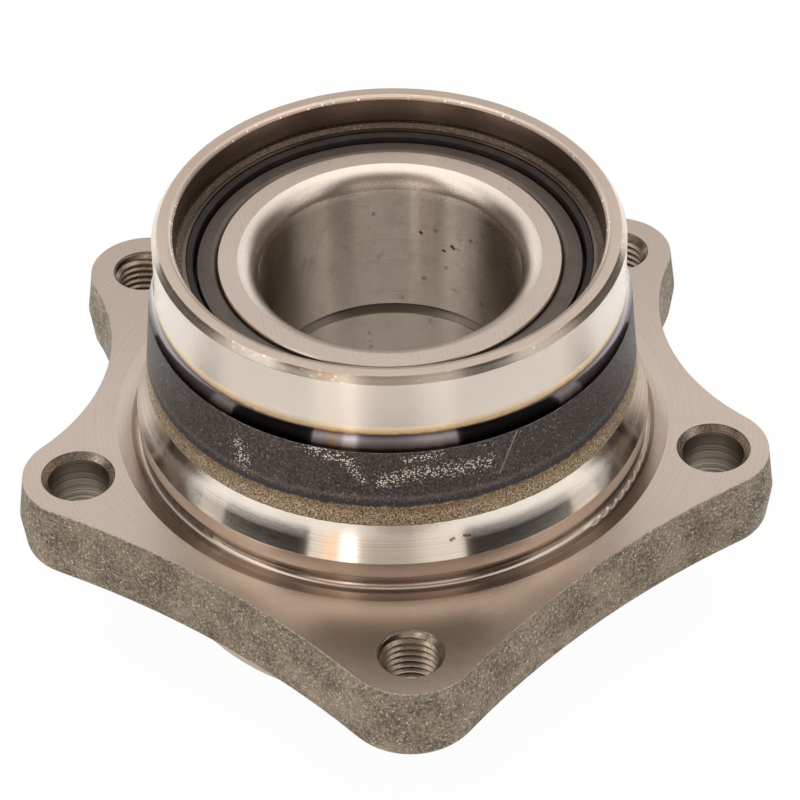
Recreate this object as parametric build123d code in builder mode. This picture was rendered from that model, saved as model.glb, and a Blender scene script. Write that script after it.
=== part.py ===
from build123d import *

import math
import os

# Wheel hub bearing of the second generation: a forged outer ring with a five-eared flange, two rows of
# balls in angular contact, and an inner ring split between the rows. Each side has a snap cage, a
# pressed seal case with a rubber lip, and a slinger.
#
# Millimetres. The origin is on the bore axis, in the machined mounting face of the flange. +Z points to
# the open, inboard end of the barrel, and the front ear of the flange points to -Y.
# What both sides share is drawn once, with x from the bore axis and y outwards from the split plane.

# Fits and clearances
bond_gap = 0.01  # between pieces that are pressed or bonded together
race_clearance = 0.08  # ball to raceway, along the line of contact
pocket_clearance = 0.2  # ball to cage pocket
lip_clearance = 0.12  # seal lip to slinger
cut_over = 1.0  # how far a cut starts outside the surface that it opens

# Rolling set
bore_r = 25.0
pitch_above_bore = 10.0  # from the bore to the pitch circle
ball_r = 6.0
ball_count = 15  # in each row
contact_angle = 38.0  # degrees from the radial plane
conformity = 1.04  # groove radius over ball radius
row_offset = 19.5  # from the split plane to each row

# Inner rings
inner_shoulder_drop = 2.1  # from the pitch circle down to the high shoulder
inner_lip_drop = 5.7  # from the pitch circle down to the lip that keeps the balls on
inner_lip_width = 0.74
inner_relief_depth = 0.3  # from the lip down to the turned relief
inner_end_reach = 13.95  # from the row to the ring's large face
mouth_width = 4.0  # radial width of the rounded mouth of the bore, at the large face
mouth_rounding = 5.0  # its radius, tangent to the bore
inner_edge_chamfer = 0.25
joint_bore_chamfer = 1.4  # where the two inner rings meet in the bore
joint_outer_chamfer = 0.6

# Outer ring, inside
outer_land_rise = 2.1  # from the pitch circle up to the land between the rows
outer_shoulder_rise = 3.9  # from the pitch circle up to the low shoulder
shoulder_reach = 8.4  # from the row to the end of the low shoulder
seat_step = 0.6  # from the low shoulder up to the seal seat
seat_length = 6.35
step_rise = 1.1  # of the sloping step from the seal seat to the counterbore's floor
step_height = 0.55
counterbore_step = 0.4  # from the sloping step up to the counterbore's wall
counterbore_depth = 5.9
mouth_chamfer = 0.6

# Outer ring, barrel, from the rim down to the flange
rim_wall = 4.0  # from the counterbore to the ground pilot band
rim_chamfer_in = 1.05
rim_chamfer_down = 1.4
pilot_width = 9.9
runout_flare = 1.35  # where the ground band runs out into the forged wall
runout_height = 5.2
forge_draft = 5.0  # degrees
cove_height = 4.6
cone_height = 3.1
cone_angle = 20.0  # degrees from the axis
boss_step = 5.0  # from the pilot band out to the boss on the flange
boss_height = 5.4
split_height = 5.5  # from the mounting face up to the split plane

# Outer ring, undercut where the boss meets the mounting face
undercut_rise = 2.2
undercut_reach = 4.24
undercut_r = 1.1
undercut_side = 0.65
undercut_depth = 0.95

# Outer ring, spigot
spigot_step = 1.0  # from the pilot band out to the spigot
spigot_chamfer = 0.8
spigot_fillet = 2.5

# Outer ring, flange: ears and holes are placed outwards from the boss, at angles from the front ear
flange_thickness = 16.8
flange_draft = 7.0  # degrees, both ways from the parting line of the forging
flange_edge_fillet = 2.5
front_ear_r = 13.2
front_ear_reach = 15.4
front_hole_reach = 18.1
side_ear_r = 11.85
side_ear_reach = 12.45
side_ear_angle = 76.1
side_hole_reach = 13.5
rear_ear_r = 11.2
rear_ear_reach = 17.75
rear_ear_angle = 134.1
rear_hole_reach = 18.1
front_waist_r = 198.0
side_waist_r = 44.5
rear_waist_r = 900.0
thread_r = 6.0  # M12 x 1.5, to the bottom of its grooves
thread_chamfer = 0.35
bolt_hole_r = 6.0
bolt_hole_chamfer = 1.2
countersink_angle = 90.0

# Cages
cage_web_in = 3.8  # from the pitch circle in to the web's bore
cage_web_out = 1.4  # from the pitch circle out to the web's rim
cage_web_back = 8.8  # from the row back to the closed end of the cage
cage_web_front = 4.5  # from the row back to where the bars start
cage_bar_depth = 2.4  # of the bars, each way from the pitch circle
cage_edge_r = 0.4
horn_reach = 2.3  # of the snap horns past the row
horn_slot_width = 0.9
horn_slot_depth = 2.6

# Seal cases and their rubber
case_sheet = 0.7
case_setback = 0.4  # from the end of the low shoulder to the case's floor
case_length = 5.8
case_bend = 0.3
lip_room = 2.0  # from the slinger's sleeve out to the edge of the case's floor
rubber_setback = 0.1  # of the rubber below the case's end
rubber_wall = 1.35
rubber_sheet = 0.45
rubber_slope = 0.45  # of the rubber's face, down towards the slinger
rubber_hook = 1.0  # how far the rubber reaches round the edge of the case's floor
rubber_edge_r = 0.25
lip_root = 1.2  # radial length of the two lips on the sleeve
lip_land = 0.3  # width of each lip's running edge
lip_throat = 0.95  # depth of the grease groove between the two lips
dust_lip_reach = 1.15  # below the case's floor
main_lip_reach = 1.3  # above the underside of the case's floor
main_lip_back = 0.5
axial_lip_out = 2.4  # from the slinger's sleeve out to the axial lip
axial_lip_width = 0.3
axial_lip_foot = 0.45  # how much wider the axial lip is at its foot, each way

# Slingers
slinger_sheet = 0.6
slinger_sink = 0.27  # below the inner ring's large face
slinger_length = 6.2
slinger_bend = 0.5
slinger_dish = 0.45
slinger_gap = 0.75  # open gap between the slinger's edge and the rubber
slinger_edge_r = 0.15

SIDES = {"inboard": 1, "outboard": -1}

# Radii that follow
pitch_r = bore_r + pitch_above_bore
groove_r = conformity * ball_r
groove_shift = groove_r - ball_r - race_clearance
inner_shoulder_r = pitch_r - inner_shoulder_drop
inner_lip_r = pitch_r - inner_lip_drop
inner_relief_r = inner_lip_r - inner_relief_depth
outer_land_r = pitch_r + outer_land_rise
outer_shoulder_r = pitch_r + outer_shoulder_rise
seat_r = outer_shoulder_r + seat_step
step_r = seat_r + step_rise
counterbore_r = step_r + counterbore_step
pilot_r = counterbore_r + rim_wall
boss_r = pilot_r + boss_step
spigot_r = pilot_r + spigot_step
case_outer_r = seat_r - bond_gap
case_inner_r = case_outer_r - case_sheet
sleeve_inner_r = inner_shoulder_r + bond_gap
sleeve_r = sleeve_inner_r + slinger_sheet
case_edge_r = sleeve_r + lip_room
rubber_outer_r = case_inner_r - bond_gap
rubber_inner_r = rubber_outer_r - rubber_wall
slinger_edge = rubber_inner_r - slinger_gap

# Distances from the split plane that follow
seat_start = row_offset + shoulder_reach
seat_end = seat_start + seat_length
counterbore_floor = seat_end + step_height
ring_half_width = counterbore_floor + counterbore_depth
inner_half_width = row_offset + inner_end_reach
case_floor = seat_start + case_setback
case_end = case_floor + case_length
slinger_top = inner_half_width - slinger_sink
slinger_foot = slinger_top - slinger_length
slinger_rim = slinger_top - slinger_dish


def side_plane(side, angle=0):
    """A radial plane of one side, at an angle: x from the bore axis, y outwards from the split plane."""
    turn = math.radians(angle)
    x_dir = (math.cos(turn), math.sin(turn), 0)
    z_dir = (side * math.sin(turn), -side * math.cos(turn), 0)
    return Plane(origin=(0, 0, split_height), x_dir=x_dir, z_dir=z_dir)


def row_height(side):
    """The height of one side's row of balls above the mounting face."""
    return split_height + side * row_offset


def first_ball_angle(side):
    """The angle of a row's first ball: over the front ear, with the outboard row half a step on."""
    return -90 if side > 0 else -90 + 180 / ball_count


def groove_centre(outwards):
    """The centre of a raceway's groove, with outwards 1 for the outer ring and -1 for the inner one."""
    angle = math.radians(contact_angle)
    radius = pitch_r - outwards * groove_shift * math.cos(angle)
    return radius, row_offset + outwards * groove_shift * math.sin(angle)


def groove_bottom(outwards):
    """The deepest point of a raceway."""
    centre_r, centre_h = groove_centre(outwards)
    return centre_r + outwards * groove_r, centre_h


def groove_edge(outwards, land_r, past_row):
    """Where a raceway meets a land, on the far side of the row (past_row 1) or the near one (-1)."""
    centre_r, centre_h = groove_centre(outwards)
    reach = math.sqrt(groove_r**2 - (land_r - centre_r) ** 2)
    return land_r, centre_h + past_row * reach


def slinger_underside(radius):
    """The height of the underside of the slinger's flange at a radius."""
    slope = slinger_dish / (slinger_edge - sleeve_inner_r)
    return slinger_top - slinger_sheet - slope * (radius - sleeve_r)


def save_piece(builder, name):
    """Label a finished piece and write its STEP file."""
    builder.part.label = name
    export_step(builder.part, f"parts/{name}.step")


def beside_boss(reach, angle):
    """A point of the flange, at a distance out from the boss and an angle from the front ear."""
    turn = math.radians(angle - 90)
    return Vector(math.cos(turn), math.sin(turn)) * (boss_r + reach)


def waist_centre(ear, ear_r, after, after_r, waist_r):
    """The centre, outside the flange, of the concave arc that touches one ear and the one after it."""
    span = after - ear
    to_ear = ear_r + waist_r
    to_after = after_r + waist_r
    along = (to_ear**2 - to_after**2 + span.length**2) / (2 * span.length)
    outwards = Vector(span.Y, -span.X).normalized()
    return ear + span.normalized() * along + outwards * math.sqrt(to_ear**2 - along**2)


def flange_outline():
    """The flange at its parting line: five round ears and concave waists, out past the face by its draft."""
    ears = [
        (beside_boss(front_ear_reach, 0), front_ear_r, front_waist_r),
        (beside_boss(side_ear_reach, side_ear_angle), side_ear_r, side_waist_r),
        (beside_boss(rear_ear_reach, rear_ear_angle), rear_ear_r, rear_waist_r),
        (beside_boss(rear_ear_reach, -rear_ear_angle), rear_ear_r, side_waist_r),
        (beside_boss(side_ear_reach, -side_ear_angle), side_ear_r, front_waist_r),
    ]
    following = ears[1:] + ears[:1]
    waists = [
        waist_centre(ear, ear_r, after, after_r, waist_r)
        for (ear, ear_r, waist_r), (after, after_r, _) in zip(ears, following)
    ]
    waists_before = waists[-1:] + waists[:-1]
    half_thickness = flange_thickness / 2
    with BuildSketch(Plane.XY.offset(-half_thickness)) as outline:
        with BuildLine():
            for (ear, ear_r, waist_r), (after, after_r, _), coming, going in zip(
                ears, following, waists_before, waists
            ):
                start = ear + (coming - ear).normalized() * ear_r
                end = ear + (going - ear).normalized() * ear_r
                next_start = after + (going - after).normalized() * after_r
                waist = going + ((end + next_start) / 2 - going).normalized() * waist_r
                ThreePointArc(start, ear + ear.normalized() * ear_r, end)
                ThreePointArc(end, waist, next_start)
        make_face()
        offset(amount=half_thickness * math.tan(math.radians(flange_draft)))
    return outline.sketch


def outside_section():
    """The section that is turned about the bore axis: the spigot, the boss, the cove and the barrel."""
    rim = split_height + ring_half_width
    foot = split_height - ring_half_width
    pilot_top = rim - rim_chamfer_down
    pilot_foot = pilot_top - pilot_width
    forged_top = pilot_foot - runout_height
    forged_top_r = pilot_r + runout_flare
    cone_top = boss_height + cone_height
    cone_top_r = boss_r - cone_height * math.tan(math.radians(cone_angle))
    forged_foot = cone_top + cove_height
    draft = math.radians(forge_draft)
    forged_foot_r = forged_top_r + (forged_top - forged_foot) * math.tan(draft)
    with BuildSketch(Plane.XZ) as section:
        with BuildLine():
            Polyline((0, rim), (pilot_r - rim_chamfer_in, rim), (pilot_r, pilot_top), (pilot_r, pilot_foot))
            TangentArc((pilot_r, pilot_foot), (forged_top_r, forged_top), tangent=(0, -1))
            Line((forged_top_r, forged_top), (forged_foot_r, forged_foot))
            TangentArc(
                (forged_foot_r, forged_foot),
                (cone_top_r, cone_top),
                tangent=(math.sin(draft), -math.cos(draft)),
            )
            Polyline(
                (cone_top_r, cone_top),
                (boss_r, boss_height),
                (boss_r, -flange_thickness),
                (spigot_r + spigot_fillet, -flange_thickness),
            )
            TangentArc(
                (spigot_r + spigot_fillet, -flange_thickness),
                (spigot_r, -flange_thickness - spigot_fillet),
                tangent=(-1, 0),
            )
            Polyline(
                (spigot_r, -flange_thickness - spigot_fillet),
                (spigot_r, foot + spigot_chamfer),
                (spigot_r - spigot_chamfer, foot),
                (0, foot),
                (0, rim),
            )
        make_face()
    return section.sketch


def inside_section(side):
    """What is turned out of the outer ring on one side: raceway, low shoulder, seal seat, counterbore."""
    land_edge = groove_edge(1, outer_land_r, -1)
    shoulder_edge = groove_edge(1, outer_shoulder_r, 1)
    mouth_r = counterbore_r + mouth_chamfer
    with BuildSketch(side_plane(side)) as section:
        with BuildLine():
            Polyline((0, 0), (outer_land_r, 0), land_edge)
            ThreePointArc(land_edge, groove_bottom(1), shoulder_edge)
            Polyline(
                shoulder_edge,
                (outer_shoulder_r, seat_start),
                (seat_r, seat_start),
                (seat_r, seat_end),
                (step_r, counterbore_floor),
                (counterbore_r, counterbore_floor),
                (counterbore_r, ring_half_width - mouth_chamfer),
                (mouth_r, ring_half_width),
                (mouth_r, ring_half_width + cut_over),
                (0, ring_half_width + cut_over),
                (0, 0),
            )
        make_face()
    return section.sketch


def undercut_section():
    """The grinding undercut: a round bottom with a tangent up the boss and a tangent out to the face."""
    centre = (boss_r - undercut_side + undercut_r, undercut_r - undercut_depth)
    with BuildSketch(Plane.XZ) as section:
        with BuildLine():
            Line((boss_r, undercut_rise), (boss_r + undercut_reach, 0))
            CenterArc(centre, undercut_r, 0, 360)
        make_hull()
    return section.sketch


def both_faces(points):
    """Places for a countersunk hole at each point, from the mounting face and from the underside."""
    upper = [Location((point.X, point.Y, 0)) for point in points]
    lower = [Location((point.X, point.Y, -flange_thickness), (180, 0, 0)) for point in points]
    return upper + lower


def make_outer_ring():
    """The outer ring: a forging with a five-eared flange, turned outside and inside, and drilled."""
    threaded = [beside_boss(front_hole_reach, 0)]
    threaded += [beside_boss(rear_hole_reach, turn * rear_ear_angle) for turn in (-1, 1)]
    plain = [beside_boss(side_hole_reach, turn * side_ear_angle) for turn in (-1, 1)]
    with BuildPart() as outer_ring:
        extrude(flange_outline(), amount=flange_thickness / 2, both=True, taper=flange_draft)
        fillet(outer_ring.edges().group_by(Axis.Z)[0], radius=flange_edge_fillet)
        revolve(outside_section(), axis=Axis.Z)
        revolve(undercut_section(), axis=Axis.Z, mode=Mode.SUBTRACT)
        for side in SIDES.values():
            revolve(inside_section(side), axis=Axis.Z, mode=Mode.SUBTRACT)
        with Locations(*both_faces(threaded)):
            CounterSinkHole(
                radius=thread_r,
                counter_sink_radius=thread_r + thread_chamfer,
                depth=flange_thickness,
                counter_sink_angle=countersink_angle,
            )
        with Locations(*both_faces(plain)):
            CounterSinkHole(
                radius=bolt_hole_r,
                counter_sink_radius=bolt_hole_r + bolt_hole_chamfer,
                depth=flange_thickness,
                counter_sink_angle=countersink_angle,
            )
    save_piece(outer_ring, "outer_ring")


def make_inner_ring(name, side):
    """One inner ring: bore with a rounded mouth, high shoulder for the slinger, raceway, retaining lip."""
    lip_edge = groove_edge(-1, inner_lip_r, -1)
    shoulder_edge = groove_edge(-1, inner_shoulder_r, 1)
    lip_end = lip_edge[1] - inner_lip_width
    mouth_depth = math.sqrt(mouth_rounding**2 - (mouth_rounding - mouth_width) ** 2)
    mouth_start = (bore_r, inner_half_width - mouth_depth)
    mouth_end = (bore_r + mouth_width, inner_half_width)
    with BuildPart() as inner_ring:
        with BuildSketch(side_plane(side)):
            with BuildLine():
                Polyline(
                    lip_edge,
                    (inner_lip_r, lip_end),
                    (inner_relief_r, lip_end - inner_relief_depth),
                    (inner_relief_r, joint_outer_chamfer),
                    (inner_relief_r - joint_outer_chamfer, 0),
                    (bore_r + joint_bore_chamfer, 0),
                    (bore_r, joint_bore_chamfer),
                    mouth_start,
                )
                TangentArc(mouth_start, mouth_end, tangent=(0, 1))
                Polyline(
                    mouth_end,
                    (inner_shoulder_r - inner_edge_chamfer, inner_half_width),
                    (inner_shoulder_r, inner_half_width - inner_edge_chamfer),
                    shoulder_edge,
                )
                ThreePointArc(shoulder_edge, groove_bottom(-1), lip_edge)
            make_face()
        revolve(axis=Axis.Z)
    save_piece(inner_ring, f"inner_ring_{name}")


def make_ball(name, side, number):
    """One ball, in its place on the pitch circle of its row."""
    angle = math.radians(first_ball_angle(side) + (number - 1) * 360 / ball_count)
    place = (pitch_r * math.cos(angle), pitch_r * math.sin(angle), row_height(side))
    with BuildPart() as ball:
        with Locations(place):
            Sphere(ball_r)
    save_piece(ball, f"ball_{name}_{number:02d}")


def make_cage(name, side):
    """One moulded cage: a closed web towards the split plane, round pockets, and slotted snap horns."""
    first_pocket = first_ball_angle(side)
    first_bar = first_pocket + 180 / ball_count
    slot_centre = horn_reach - horn_slot_depth / 2 + cut_over / 2
    with BuildPart(Plane.XY.offset(row_height(side))) as cage:
        with BuildSketch(side_plane(side, first_bar)):
            with BuildLine():
                FilletPolyline(
                    (pitch_r - cage_web_in, row_offset - cage_web_back),
                    (pitch_r + cage_web_out, row_offset - cage_web_back),
                    (pitch_r + cage_web_out, row_offset - cage_web_front),
                    (pitch_r + cage_bar_depth, row_offset - cage_web_front),
                    (pitch_r + cage_bar_depth, row_offset + horn_reach),
                    (pitch_r - cage_bar_depth, row_offset + horn_reach),
                    (pitch_r - cage_bar_depth, row_offset - cage_web_front),
                    (pitch_r - cage_web_in, row_offset - cage_web_front),
                    radius=cage_edge_r,
                    close=True,
                )
            make_face()
        revolve(axis=Axis.Z)
        with PolarLocations(pitch_r, ball_count, start_angle=first_pocket):
            Sphere(ball_r + pocket_clearance, mode=Mode.SUBTRACT)
        with PolarLocations(pitch_r, ball_count, start_angle=first_bar):
            with Locations((0, 0, side * slot_centre)):
                Box(
                    2 * (cage_bar_depth + cut_over),
                    horn_slot_width,
                    horn_slot_depth + cut_over,
                    mode=Mode.SUBTRACT,
                )
    save_piece(cage, f"cage_{name}")


def make_seal_case(name, side):
    """One seal case: a cup pressed from sheet, with its floor towards the balls."""
    with BuildPart() as seal_case:
        with BuildSketch(side_plane(side)):
            with BuildLine():
                FilletPolyline(
                    (case_outer_r, case_floor),
                    (case_outer_r, case_end),
                    (case_inner_r, case_end),
                    (case_inner_r, case_floor + case_sheet),
                    (case_edge_r, case_floor + case_sheet),
                    (case_edge_r, case_floor),
                    radius=(case_bend + case_sheet, 0, 0, case_bend, 0, 0),
                    close=True,
                )
            make_face()
        revolve(axis=Axis.Z)
    save_piece(seal_case, f"seal_case_{name}")


def make_seal_lip(name, side):
    """The rubber on one seal case: its face and wall, and the axial, main and dust lips."""
    face_top = case_end - rubber_setback
    on_floor = case_floor + case_sheet + bond_gap
    below_floor = case_floor - bond_gap
    floor_edge = case_edge_r - bond_gap
    hook_end = floor_edge + rubber_hook
    tip_r = sleeve_r + lip_clearance
    root_r = tip_r + lip_root
    dust_tip = case_floor - dust_lip_reach
    main_tip = case_floor + main_lip_reach
    axial_r = sleeve_r + axial_lip_out
    axial_outer_r = axial_r + axial_lip_width
    axial_tip = slinger_underside(axial_outer_r) - lip_clearance
    web = on_floor + rubber_sheet
    section = [
        ((rubber_outer_r, face_top), rubber_edge_r),
        ((rubber_outer_r, on_floor), case_bend - bond_gap),
        ((floor_edge, on_floor), 0),
        ((floor_edge, below_floor), 0),
        ((hook_end, below_floor), 0),
        ((hook_end, below_floor - rubber_sheet), rubber_edge_r),
        ((root_r, below_floor - rubber_sheet), 0),
        ((tip_r, dust_tip), 0),
        ((tip_r, dust_tip + lip_land), 0),
        ((tip_r + lip_throat, (dust_tip + main_tip) / 2), rubber_edge_r),
        ((tip_r, main_tip - lip_land), 0),
        ((tip_r, main_tip), 0),
        ((root_r, main_tip + main_lip_back), rubber_edge_r),
        ((axial_r - axial_lip_foot, web), rubber_edge_r),
        ((axial_r, axial_tip), 0),
        ((axial_outer_r, axial_tip), 0),
        ((axial_outer_r + axial_lip_foot, web), rubber_edge_r),
        ((rubber_inner_r, web), rubber_edge_r),
        ((rubber_inner_r, face_top - rubber_slope), rubber_edge_r),
    ]
    with BuildPart() as seal_lip:
        with BuildSketch(side_plane(side)):
            with BuildLine():
                FilletPolyline([point for point, _ in section], radius=[r for _, r in section], close=True)
            make_face()
        revolve(axis=Axis.Z)
    save_piece(seal_lip, f"seal_lip_{name}")


def make_slinger(name, side):
    """One slinger: a sleeve pressed on the inner ring's shoulder, with a slightly dished flange."""
    with BuildPart() as slinger:
        with BuildSketch(side_plane(side)):
            with BuildLine():
                FilletPolyline(
                    (sleeve_inner_r, slinger_foot),
                    (sleeve_inner_r, slinger_top),
                    (slinger_edge, slinger_rim),
                    (slinger_edge, slinger_underside(slinger_edge)),
                    (sleeve_r, slinger_underside(sleeve_r)),
                    (sleeve_r, slinger_foot),
                    radius=(0, slinger_bend + slinger_sheet, slinger_edge_r, slinger_edge_r, slinger_bend, 0),
                    close=True,
                )
            make_face()
        revolve(axis=Axis.Z)
    save_piece(slinger, f"slinger_{name}")


def make_side(name, side):
    """Everything that one side of the bearing holds inside the outer ring."""
    make_inner_ring(name, side)
    for number in range(1, ball_count + 1):
        make_ball(name, side, number)
    make_cage(name, side)
    make_seal_case(name, side)
    make_seal_lip(name, side)
    make_slinger(name, side)


os.makedirs("parts", exist_ok=True)
make_outer_ring()
for side_name, side_sign in SIDES.items():
    make_side(side_name, side_sign)
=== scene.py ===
"""Finishes, screw threads, stage and camera of a flanged wheel hub bearing.

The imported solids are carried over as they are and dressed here. The axis of
the bearing is Z, the flange's mounting face is at height 0, and lengths in the
classes below are millimetres unless a name says otherwise.
"""
import logging
import math
from dataclasses import dataclass
from enum import Enum
from functools import reduce
from typing import Any, Mapping, Optional, Sequence, Tuple, Union

import bmesh
import bpy
from mathutils import Matrix, Vector


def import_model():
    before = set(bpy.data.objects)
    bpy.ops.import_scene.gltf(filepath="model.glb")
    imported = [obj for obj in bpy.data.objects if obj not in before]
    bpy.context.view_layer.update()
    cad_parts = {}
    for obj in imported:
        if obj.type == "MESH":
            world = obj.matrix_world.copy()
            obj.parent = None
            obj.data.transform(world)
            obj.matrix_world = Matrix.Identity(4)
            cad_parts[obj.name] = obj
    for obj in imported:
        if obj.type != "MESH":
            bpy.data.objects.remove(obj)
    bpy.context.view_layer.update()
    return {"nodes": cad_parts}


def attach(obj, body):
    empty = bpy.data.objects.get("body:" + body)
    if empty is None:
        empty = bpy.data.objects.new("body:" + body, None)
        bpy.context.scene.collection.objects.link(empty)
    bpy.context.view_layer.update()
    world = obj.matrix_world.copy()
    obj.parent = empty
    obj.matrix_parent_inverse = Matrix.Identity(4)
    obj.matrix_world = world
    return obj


MM = 0.001
DEGREES = 180.0 / math.pi
Colour = Tuple[float, float, float]
Point = Tuple[float, float, float]
Number = Union["Field", float]

log = logging.getLogger("hub_bearing")


class Side(Enum):
    """The two ends of the bearing, as the nodes' names give them."""

    INBOARD = "inboard"
    OUTBOARD = "outboard"


class Field:
    """A value or vector that varies over a surface, with Python's operators for its maths."""

    def __init__(self, graph: "Graph", socket: bpy.types.NodeSocket) -> None:
        """Keeps the socket and the graph that it belongs to."""
        self.graph = graph
        self.socket = socket

    def _with(self, operation: str, *terms: Number) -> "Field":
        """A Math node on these terms."""
        return self.graph.node("ShaderNodeMath", {"operation": operation}, dict(enumerate(terms)))

    def __add__(self, other: Number) -> "Field":
        """self + other."""
        return self._with("ADD", self, other)

    def __radd__(self, other: Number) -> "Field":
        """other + self."""
        return self._with("ADD", other, self)

    def __sub__(self, other: Number) -> "Field":
        """self - other."""
        return self._with("SUBTRACT", self, other)

    def __rsub__(self, other: Number) -> "Field":
        """other - self."""
        return self._with("SUBTRACT", other, self)

    def __mul__(self, other: Number) -> "Field":
        """self * other."""
        return self._with("MULTIPLY", self, other)

    def __rmul__(self, other: Number) -> "Field":
        """other * self."""
        return self._with("MULTIPLY", other, self)

    def __truediv__(self, other: Number) -> "Field":
        """self / other."""
        return self._with("DIVIDE", self, other)

    def __rtruediv__(self, other: Number) -> "Field":
        """other / self."""
        return self._with("DIVIDE", other, self)

    def __neg__(self) -> "Field":
        """-self."""
        return self._with("MULTIPLY", self, -1.0)

    def __abs__(self) -> "Field":
        """abs(self)."""
        return self._with("ABSOLUTE", self)

    def root(self) -> "Field":
        """The square root."""
        return self._with("SQRT", self)

    def least(self, other: Number) -> "Field":
        """The smaller of the two."""
        return self._with("MINIMUM", self, other)

    def most(self, other: Number) -> "Field":
        """The larger of the two."""
        return self._with("MAXIMUM", self, other)

    def part(self, name: str) -> "Field":
        """Another output of the same node, such as the Y of a separated vector."""
        return Field(self.graph, self.socket.node.outputs[name])

    def rise(self, low: float, high: float) -> "Field":
        """A smooth step from 0 at low to 1 at high; with low above high it falls instead.

        Args:
            low: where the step is 0.
            high: where the step is 1.

        Returns:
            The step, between 0 and 1.
        """
        if low > high:
            return 1.0 - self.rise(high, low)
        return self.graph.node(
            "ShaderNodeMapRange",
            {"interpolation_type": "SMOOTHSTEP"},
            {"Value": self, "From Min": low, "From Max": high},
        )

    def within(self, low: float, high: float, soft: float) -> "Field":
        """1 between low and high, falling to 0 over soft beyond each.

        Args:
            low: lower end of the band.
            high: upper end of the band.
            soft: width of each soft edge.

        Returns:
            The mask, between 0 and 1.
        """
        return self.rise(low - soft, low + soft) * self.rise(high + soft, high - soft)


class Graph:
    """The node graph of one material or of the world."""

    def __init__(self, tree: bpy.types.NodeTree) -> None:
        """Empties the tree and keeps it."""
        self.tree = tree
        tree.nodes.clear()

    def node(
        self,
        kind: str,
        settings: Optional[Mapping[str, Any]] = None,
        inputs: Optional[Mapping[Union[int, str], Any]] = None,
        output: Union[int, str] = 0,
    ) -> Field:
        """Adds one node.

        Args:
            kind: the node's type.
            settings: its properties, set before its sockets; stops are a colour ramp's.
            inputs: values or fields of its sockets, by name or number.
            output: the output that the field reads.

        Returns:
            The field at that output.
        """
        made = self.tree.nodes.new(kind)
        for name, value in (settings or {}).items():
            if name == "stops":
                ramp = made.color_ramp.elements
                while len(ramp) < len(value):
                    ramp.new(1.0)
                for stop, (place, colour) in zip(ramp, value):
                    stop.position = place
                    stop.color = (*colour, 1.0)
            else:
                setattr(made, name, value)
        for name, value in (inputs or {}).items():
            socket = made.inputs[name]
            if isinstance(value, Field):
                self.tree.links.new(value.socket, socket)
            elif isinstance(value, tuple) and len(socket.default_value) == 4:
                socket.default_value = (*value, 1.0)
            else:
                socket.default_value = value
        outputs = made.outputs
        return Field(self, outputs[output] if len(outputs) else None)

    def vector(self, operation: str, *terms: Any, output: Union[int, str] = 0) -> Field:
        """A Vector Math node on these terms."""
        return self.node("ShaderNodeVectorMath", {"operation": operation}, dict(enumerate(terms)), output)

    def times(self, vector: Any, factor: Number) -> Field:
        """A vector scaled by a number."""
        return self.node("ShaderNodeVectorMath", {"operation": "SCALE"}, {0: vector, "Scale": factor})

    def mix(self, share: Number, first: Any, second: Any) -> Field:
        """A colour that goes from first to second.

        Args:
            share: 0 for the first colour, 1 for the second.
            first: a colour or a field.
            second: a colour or a field.

        Returns:
            The mixed colour.
        """
        settings = {"data_type": "RGBA", "clamp_factor": True}
        return self.node("ShaderNodeMix", settings, {0: share, 6: first, 7: second}, 2)

    def between(self, share: Number, first: Number, second: Number) -> Field:
        """A number that goes from first to second as share goes from 0 to 1."""
        return self.node("ShaderNodeMix", {"data_type": "FLOAT"}, {0: share, 2: first, 3: second})

    def grain(self, place: Field, size: float, detail: float, rough: float) -> Field:
        """Cloudy noise about 0.5.

        Args:
            place: where it is read, in millimetres.
            size: width of its largest features, in millimetres.
            detail: number of finer layers.
            rough: strength of the finer layers.

        Returns:
            The noise, mostly between 0.25 and 0.75.
        """
        inputs = {"Vector": place, "Scale": 1.0 / size, "Detail": detail, "Roughness": rough}
        return self.node("ShaderNodeTexNoise", None, inputs)

    def lines(self, along: Field, pitch: float) -> Field:
        """Noise in one dimension, for the marks that a tool leaves side by side."""
        inputs = {"W": along, "Scale": 1.0 / pitch, "Detail": 3.0, "Roughness": 0.6}
        return self.node("ShaderNodeTexNoise", {"noise_dimensions": "1D"}, inputs)

    def cells(self, place: Field, size: float) -> Field:
        """Distance to the nearest of scattered points a size apart, in cell widths."""
        return self.node("ShaderNodeTexVoronoi", {"feature": "F1"}, {"Vector": place, "Scale": 1.0 / size})

    def bump(self, height: Field, depth: float, normal: Optional[Field] = None) -> Field:
        """A bump node.

        Args:
            height: the height field, where 1 stands depth high.
            depth: that depth, in millimetres.
            normal: the normal that it starts from.

        Returns:
            The bumped normal.
        """
        inputs = {"Height": height, "Distance": depth * MM, "Strength": 1.0}
        if normal is not None:
            inputs["Normal"] = normal
        return self.node("ShaderNodeBump", None, inputs)


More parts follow.
